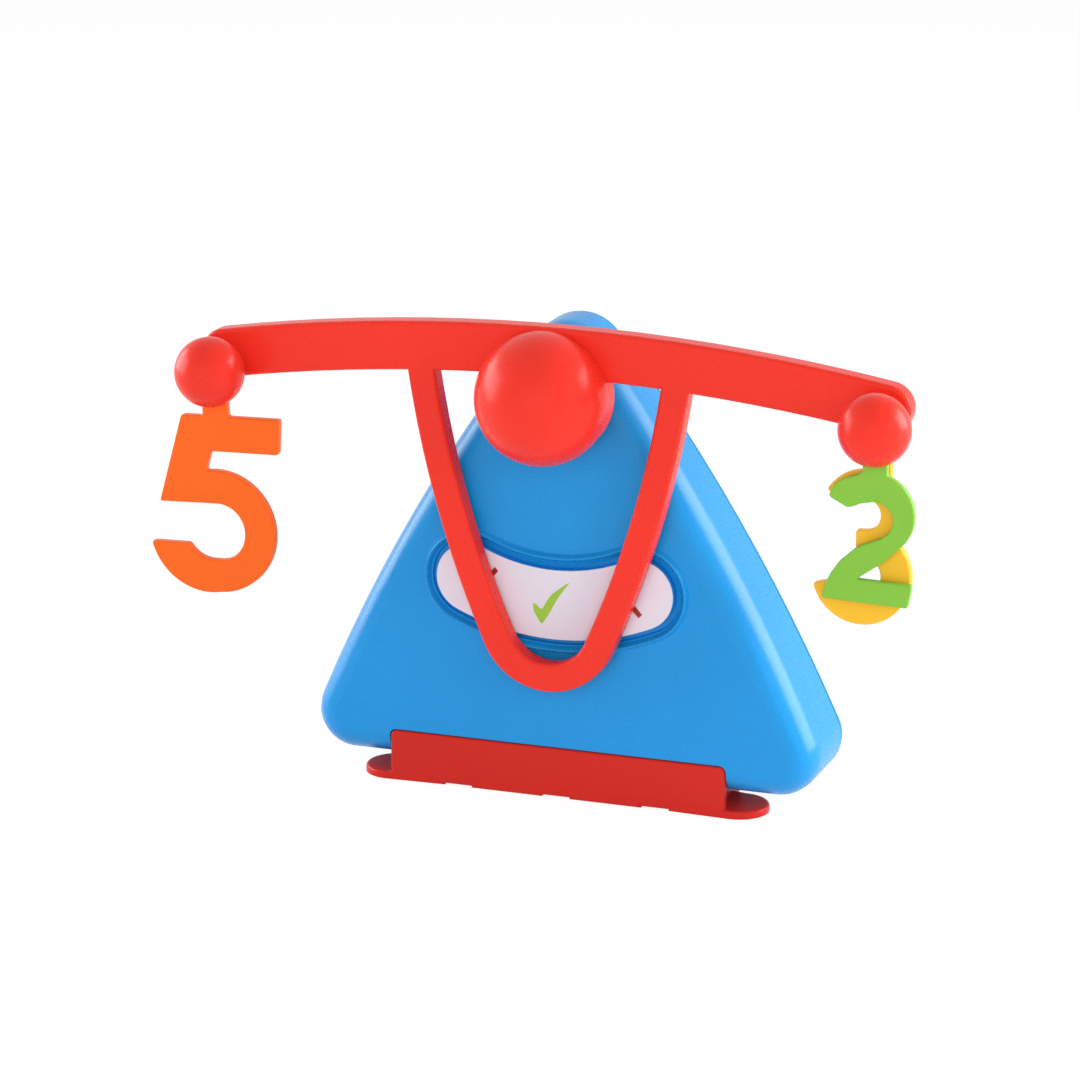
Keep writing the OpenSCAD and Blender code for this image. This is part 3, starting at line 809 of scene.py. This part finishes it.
def arc(centre, radius, start, sweep, shares):
    """Points of an arc about a centre, at shares of its sweep."""
    turns = [start + sweep * share for share in shares]
    return [(centre[0] + radius * math.cos(turn), centre[1] + radius * math.sin(turn)) for turn in turns]


def dial_outline(radius, half, angle, steps=64, end_steps=32):
    """Closed outline of the dial's curved strip about the pivot, with its front towards +Z."""
    down = -math.pi / 2
    long = [i / steps for i in range(steps + 1)]
    short = [i / end_steps for i in range(1, end_steps)]
    right = (radius * math.sin(angle), -radius * math.cos(angle))
    left = (-right[0], right[1])
    return (
        arc((0, 0), radius + half, down - angle, 2 * angle, long)
        + arc(right, half, down + angle, math.pi, short)
        + arc((0, 0), radius - half, down + angle, -2 * angle, long)
        + arc(left, half, -down - angle, math.pi, short))


def bezel_section(steps=10):
    """Section of the bezel for width and height 1: a bead, and a groove between it and the label's seat.
    A swept section's second axis points into the face, so heights are written as minus."""
    height, crest, foot = 0.94, 0.74, 0.40
    bottom, seat = -0.76, -0.68
    turns = [i / steps for i in range(steps + 1)]
    outer = [(1 - (1 - crest) * t, height * (1 - math.cos(math.pi * t)) / 2) for t in turns]
    inner = [(crest - (crest - foot) * t, height * (1 + math.cos(math.pi * t)) / 2) for t in turns[1:]]
    groove = [(0.38, -0.3), (0.34, -0.55), (0.27, -0.66)]
    points = [(0.0, bottom), (1.0, bottom)] + outer + inner + groove + [(0.0, seat)]
    return [(x, -y) for x, y in points]


def geometry_tree(name, output, inputs):
    """Geometry Nodes tree with named inputs and one output; returns the tree and its inputs' sockets."""
    tree = bpy.data.node_groups.new(name, "GeometryNodeTree")
    for title, kind in inputs:
        tree.interface.new_socket(title, in_out="INPUT", socket_type="NodeSocket" + kind)
    tree.interface.new_socket(output, in_out="OUTPUT", socket_type="NodeSocketGeometry")
    return tree, add(tree, "NodeGroupInput", (-900, 0)).outputs


def close_tree(tree, geometry, material):
    """Ends a tree: its instances are made real and given a material."""
    real = add(tree, "GeometryNodeRealizeInstances", (200, 100), {"Geometry": geometry})
    skin = add(tree, "GeometryNodeSetMaterial", (400, 100), {
        "Geometry": real.outputs["Geometry"], "Material": material})
    add(tree, "NodeGroupOutput", (600, 100), {0: skin.outputs["Geometry"]})
    return tree


def grown(obj, tree, values):
    """Puts a node tree on an object and sets its inputs, which are found by name."""
    made = obj.modifiers.new(tree.name, "NODES")
    made.node_group = tree
    for item in tree.interface.items_tree:
        if item.in_out == "INPUT" and item.name in values:
            made[item.identifier] = values[item.name]


def bezel_tree():
    """Node tree that sweeps the bezel's section along the dial's outline."""
    tree, start = geometry_tree("Dial bezel", "Bezel", (
        ("Path", "Geometry"), ("Section", "Object"), ("Width", "Float"), ("Height", "Float"),
        ("Material", "Material")))
    upright = add(tree, "GeometryNodeSetCurveNormal", (-500, 200), {"Curve": start["Path"]}, mode="Z_UP")
    drawn = add(tree, "GeometryNodeObjectInfo", (-700, -200), {"Object": start["Section"]})
    size = add(tree, "ShaderNodeCombineXYZ", (-700, -400), {
        "X": start["Width"], "Y": start["Height"], "Z": 1.0})
    sized = add(tree, "GeometryNodeTransform", (-500, -200), {
        "Geometry": drawn.outputs["Geometry"], "Scale": size.outputs["Vector"]})
    swept = add(tree, "GeometryNodeCurveToMesh", (-250, 100), {
        "Curve": upright.outputs["Curve"], "Profile Curve": sized.outputs["Geometry"]})
    return close_tree(tree, swept.outputs["Mesh"], start["Material"])


class SCALE_OT_foot(bpy.types.Operator):
    """Foot under the stand"""

    bl_idname = "scale_toy.foot"
    bl_label = "Foot"

    def execute(self, context):
        width = context.scene.scale_sizes.foot_edge
        mesh = softened("foot", "foot_base", (FRONT, width), (Vector((0, 0, 1)), width))
        piece("foot_base", mesh, "foot_red", "stand", "foot")
        return {"FINISHED"}


class SCALE_OT_beam(bpy.types.Operator):
    """Beam with its pointer loop, and the axle inside the stand"""

    bl_idname = "scale_toy.beam"
    bl_label = "Beam"

    def execute(self, context):
        width = context.scene.scale_sizes.beam_edge
        mesh = softened("balance_beam", "beam_bar", (FRONT, width))
        piece("beam_bar", mesh, "red", "beam", "balance_beam")
        dress("pivot_axle", "steel")
        dress("axle_washer", "steel")
        return {"FINISHED"}


class SCALE_OT_knobs(bpy.types.Operator):
    """Dome over the pivot, and the knobs and pegs at the beam's ends"""

    bl_idname = "scale_toy.knobs"
    bl_label = "Dome and knobs"

    def execute(self, context):
        sizes = context.scene.scale_sizes
        wall = sizes.shell_wall
        radius = sizes.dome_radius
        profile = cap_profile(radius, wall, -DOME_LOW.y - radius, -DOME_HIGH.y, radius - 2 * wall)
        dome = lathe("pivot_dome", profile, middle("centre_dome"), steps=192)
        piece("pivot_dome", dome, "red", "beam", "centre_dome")
        seat = (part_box("right_peg")[1].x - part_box("right_peg")[0].x) / 2
        radius = sizes.ball_radius
        for side in ("left", "right"):
            low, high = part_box(side + "_ball")
            profile = cap_profile(radius, wall, -low.y - radius, -high.y, seat)
            name = side + "_knob"
            piece(name, lathe(name, profile, middle(side + "_ball")), "red", "beam", side + "_ball")
            name = side + "_pin"
            piece(name, softened(side + "_peg", name), "red", "beam", side + "_peg")
        return {"FINISHED"}


class SCALE_OT_numbers(bpy.types.Operator):
    """Numbers that hang from the knobs"""

    bl_idname = "scale_toy.numbers"
    bl_label = "Numbers"

    def execute(self, context):
        sizes = context.scene.scale_sizes
        for digit, body, slot in (("5", "five", "orange"), ("2", "two", "green"), ("3", "three", "yellow")):
            name = "weight_" + digit
            node = "number_" + digit
            piece(name, figure(node, name, sizes.number_edge, sizes.number_corner), slot, body, node)
        return {"FINISHED"}


def screw_mesh(radius, head, shank, length, steps=40):
    """Pan head screw with a cross recess, its head below height zero and its shank above."""
    bm = bmesh.new()
    crown = [(radius, 0.0), (radius, -0.45 * head), (0.93 * radius, -0.8 * head), (0.78 * radius, -head)]
    rings = [
        [bm.verts.new((x, y, z)) for x, y in circle(r, steps)]
        for r, z in [(shank, length), (shank, 0.0)] + crown]
    for first, second in zip(rings, rings[1:]):
        band(bm, first, second)
    bm.faces.new(rings[0])
    # The driver's recess narrows to its floor
    cross = cross_outline(0.13 * radius, 0.58 * radius)
    narrow, recess = 0.8, -0.35 * head
    edge = [bm.verts.new((x, y, -head)) for x, y in cross]
    floor = [bm.verts.new((narrow * x, narrow * y, recess)) for x, y in cross]
    band(bm, edge, floor)
    bm.faces.new(floor)
    close_flat(bm, [rings[-1], edge], Vector((0, 0, -1)))
    bmesh.ops.recalc_face_normals(bm, faces=bm.faces)
    return smooth_mesh(bm, "screw")


def screw_tree():
    """Node tree that sets a screw on each point, each turned about its own axis as a driver leaves it."""
    tree, start = geometry_tree("Screws", "Screws", (
        ("Points", "Geometry"), ("Screw", "Object"), ("Direction", "Vector"), ("Turn", "Float"),
        ("Seed", "Int"), ("Material", "Material")))
    aim = add(tree, "FunctionNodeAlignRotationToVector", (-600, -150), {
        "Vector": start["Direction"]}, axis="Z")
    # A Random Value node repeats its sockets' names; the numbers are inputs 2 and 3 and output 1
    chance = add(tree, "FunctionNodeRandomValue", (-600, -400), {
        2: 0.0, 3: start["Turn"], "Seed": start["Seed"]}, data_type="FLOAT")
    spin = add(tree, "FunctionNodeAxisAngleToRotation", (-400, -350), {
        "Axis": (0.0, 0.0, 1.0), "Angle": chance.outputs[1]})
    turned = add(tree, "FunctionNodeRotateRotation", (-200, -150), {
        "Rotation": aim.outputs["Rotation"], "Rotate By": spin.outputs["Rotation"]}, rotation_space="LOCAL")
    shape = add(tree, "GeometryNodeObjectInfo", (-400, 150), {"Object": start["Screw"]})
    spread = add(tree, "GeometryNodeInstanceOnPoints", (0, 100), {
        "Points": start["Points"], "Instance": shape.outputs["Geometry"],
        "Rotation": turned.outputs["Rotation"]})
    return close_tree(tree, spread.outputs["Instances"], start["Material"])


class SCALE_OT_screws(bpy.types.Operator):
    """Screws of the cover, the foot and the pegs"""

    bl_idname = "scale_toy.screws"
    bl_label = "Screws"

    # Vertices closer than this belong to one head
    HEAD_SPAN = 7 * MM
    SEED = 3

    def execute(self, context):
        sizes = context.scene.scale_sizes
        tree = screw_tree()
        head = sizes.screw_head
        for node, body, way in (
            ("housing_screws", "stand", joint_way()),
            ("foot_screws", "stand", Vector((0, 0, -1))),
            ("peg_screws", "beam", Vector((0, 1, 0))),
        ):
            spots, length = self.spots(node, way, head)
            base = bpy.data.meshes.new(node + "_spots")
            base.from_pydata(spots, [], [])
            screw = linked("screw", screw_mesh(sizes.screw_radius, head, sizes.shank_radius, length))
            name = node.replace("_screws", "_fixings")
            obj = linked(name, base)
            grown(obj, tree, {
                "Screw": screw, "Direction": -way, "Turn": math.tau / 4, "Seed": self.SEED,
                "Material": finish("steel")})
            mesh = plain(obj, name)
            bpy.data.objects.remove(screw)
            piece(name, mesh, "steel", body, node)
        return {"FINISHED"}

    def spots(self, node, way, head):
        """Middles of the heads' undersides and the shanks' length, from the CAD node's vertices."""
        verts = [v.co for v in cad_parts[node].data.vertices]
        reach = [v.dot(way) for v in verts]
        groups = []
        for v, level in zip(verts, reach):
            if level < max(reach) - SAME_LEVEL:
                continue
            for group in groups:
                if (group[0] - v).length < self.HEAD_SPAN:
                    group.append(v)
                    break
            else:
                groups.append([v])
        if not groups:
            raise RuntimeError("no screw heads found on " + node)
        spots = []
        for group in groups:
            lows = Vector([min(v[i] for v in group) for i in range(3)])
            highs = Vector([max(v[i] for v in group) for i in range(3)])
            spots.append((lows + highs) / 2 - way * head)
        return spots, max(reach) - min(reach) - head


def seen_white(tree):
    """Output that is 1 on the rays that see the studio: from the camera, mirrored or let through."""
    path = add(tree, "ShaderNodeLightPath", (-800, 300))
    clear = add(tree, "ShaderNodeMath", (-600, 300), {
        0: path.outputs["Is Camera Ray"], 1: path.outputs["Is Transmission Ray"]}, operation="MAXIMUM")
    return add(tree, "ShaderNodeMath", (-400, 300), {
        0: clear.outputs[0], 1: path.outputs["Is Glossy Ray"]}, operation="MAXIMUM").outputs[0]


class SCALE_OT_studio(bpy.types.Operator):
    """Pale floor, soft lights and the camera"""

    bl_idname = "scale_toy.studio"
    bl_label = "Studio"

    # Place, aim and lens were fitted to the photograph
    CAMERA_PLACE = Vector((0.53987, -1.52039, 0.55045))
    CAMERA_AIM = Vector((-0.013383, -0.000333, 0.095151))
    CAMERA_LENS = 147.99
    LAMP_AIM = Vector((0, 0, 0.1))
    # The floor's left, right, front and back edges
    FLOOR_EDGES = (-6, 6, -6, 9)
    # What is seen of the floor is mostly glow, for the photo's white ground; the rest takes the shadows
    GLOW_STRENGTH = 1.12
    GLOW_SHARE = 0.8
    WORLD_LIGHT = 0.38

    def execute(self, context):
        scene = context.scene
        self.floor()
        self.world(scene)
        self.lights()
        data = bpy.data.cameras.new("camera")
        data.lens = self.CAMERA_LENS
        data.sensor_width = 36.0
        data.clip_end = 50.0
        camera = linked("camera", data)
        self.point(camera, self.CAMERA_PLACE, self.CAMERA_AIM)
        scene.camera = camera
        scene.view_settings.view_transform = "Standard"
        return {"FINISHED"}

    def point(self, obj, place, aim):
        """Puts a lamp or camera in a place and turns it to an aim."""
        obj.location = place
        obj.rotation_euler = (aim - place).to_track_quat("-Z", "Y").to_euler()

    def floor(self):
        """A wide sheet of white paper board."""
        left, right, near, far = self.FLOOR_EDGES
        mesh = bpy.data.meshes.new("floor")
        corners = [(left, near, 0), (right, near, 0), (right, far, 0), (left, far, 0)]
        mesh.from_pydata(corners, [], [(0, 1, 2, 3)])
        obj = linked("floor", mesh)
        material, tree = new_material("Paper board white")
        sheet = add(tree, "ShaderNodeBsdfDiffuse", (-400, 0), {"Color": linear("f2f2f2")})
        glow = add(tree, "ShaderNodeEmission", (-400, -150), {
            "Color": (1, 1, 1, 1), "Strength": self.GLOW_STRENGTH})
        share = add(tree, "ShaderNodeMath", (-200, 250), {
            0: seen_white(tree), 1: self.GLOW_SHARE}, operation="MULTIPLY")
        mix = add(tree, "ShaderNodeMixShader", (0, 0), {
            "Fac": share.outputs[0], 1: sheet.outputs["BSDF"], 2: glow.outputs["Emission"]})
        add(tree, "ShaderNodeOutputMaterial", (200, 0), {"Surface": mix.outputs["Shader"]})
        mesh.materials.append(material)

    def world(self, scene):
        """Soft light from all round, seen as plain white."""
        world = bpy.data.worlds.new("Studio")
        scene.world = world
        world.use_nodes = True
        tree = world.node_tree
        tree.nodes.clear()
        soft = add(tree, "ShaderNodeBackground", (-200, 0), {
            "Color": (1, 1, 1, 1), "Strength": self.WORLD_LIGHT})
        white = add(tree, "ShaderNodeBackground", (-200, -150), {"Color": (1, 1, 1, 1), "Strength": 1.0})
        mix = add(tree, "ShaderNodeMixShader", (0, 0), {
            "Fac": seen_white(tree), 1: soft.outputs["Background"], 2: white.outputs["Background"]})
        add(tree, "ShaderNodeOutputWorld", (200, 0), {"Surface": mix.outputs["Shader"]})

    def lights(self):
        """Area lamps: name, place, width and height in metres, power in watts, and whether gloss shows it.
        The photo's dome shows the two side softboxes alone."""
        for name, place, size, power, shown in (
            ("Softbox left", (-1.4, 0.02, 0.45), (1.3, 0.8), 17.0, True),
            ("Softbox right", (1.25, 0.66, 0.58), (0.9, 0.9), 21.0, True),
            ("Fill right", (1.3, -0.55, 0.55), (0.5, 0.7), 5.5, False),
            ("Softbox front", (0.3, -1.9, 0.5), (1.8, 1.4), 15.0, False),
        ):
            data = bpy.data.lights.new(name, "AREA")
            data.shape = "RECTANGLE"
            data.size, data.size_y = size
            data.energy = power
            lamp = linked(name, data)
            lamp.visible_glossy = shown
            self.point(lamp, Vector(place), self.LAMP_AIM)


OPERATORS = (
    SCALE_OT_stand,
    SCALE_OT_dial,
    SCALE_OT_foot,
    SCALE_OT_beam,
    SCALE_OT_knobs,
    SCALE_OT_numbers,
    SCALE_OT_screws,
    SCALE_OT_studio,
)


class SCALE_PT_panel(bpy.types.Panel):
    """Pieces, sizes and colours of the scale"""

    bl_idname = "SCALE_PT_panel"
    bl_label = "Balance Scale"
    bl_space_type = "VIEW_3D"
    bl_region_type = "UI"
    bl_category = "Balance Scale"

    def draw(self, context):
        """Lists the sizes, the colours and a button for each group of pieces."""
        for group in (context.scene.scale_sizes, context.scene.scale_colours):
            box = self.layout.box()
            for name in type(group).__annotations__:
                box.prop(group, name)
        for operator in OPERATORS:
            self.layout.operator(operator.bl_idname)


CLASSES = (ScaleSizes, ScaleColours) + OPERATORS + (SCALE_PT_panel,)


def register():
    """Registers the classes and hangs the sizes and colours on the scene."""
    for cls in CLASSES:
        bpy.utils.register_class(cls)
    bpy.types.Scene.scale_sizes = bpy.props.PointerProperty(type=ScaleSizes)
    bpy.types.Scene.scale_colours = bpy.props.PointerProperty(type=ScaleColours)


def unregister():
    """Takes the sizes and colours off the scene and unregisters the classes."""
    del bpy.types.Scene.scale_colours
    del bpy.types.Scene.scale_sizes
    for cls in reversed(CLASSES):
        bpy.utils.unregister_class(cls)


def main():
    """Builds all the pieces and the studio."""
    register()
    for operator in OPERATORS:
        group, name = operator.bl_idname.split(".")
        getattr(getattr(bpy.ops, group), name)()


if __name__ == "__main__":
    main()
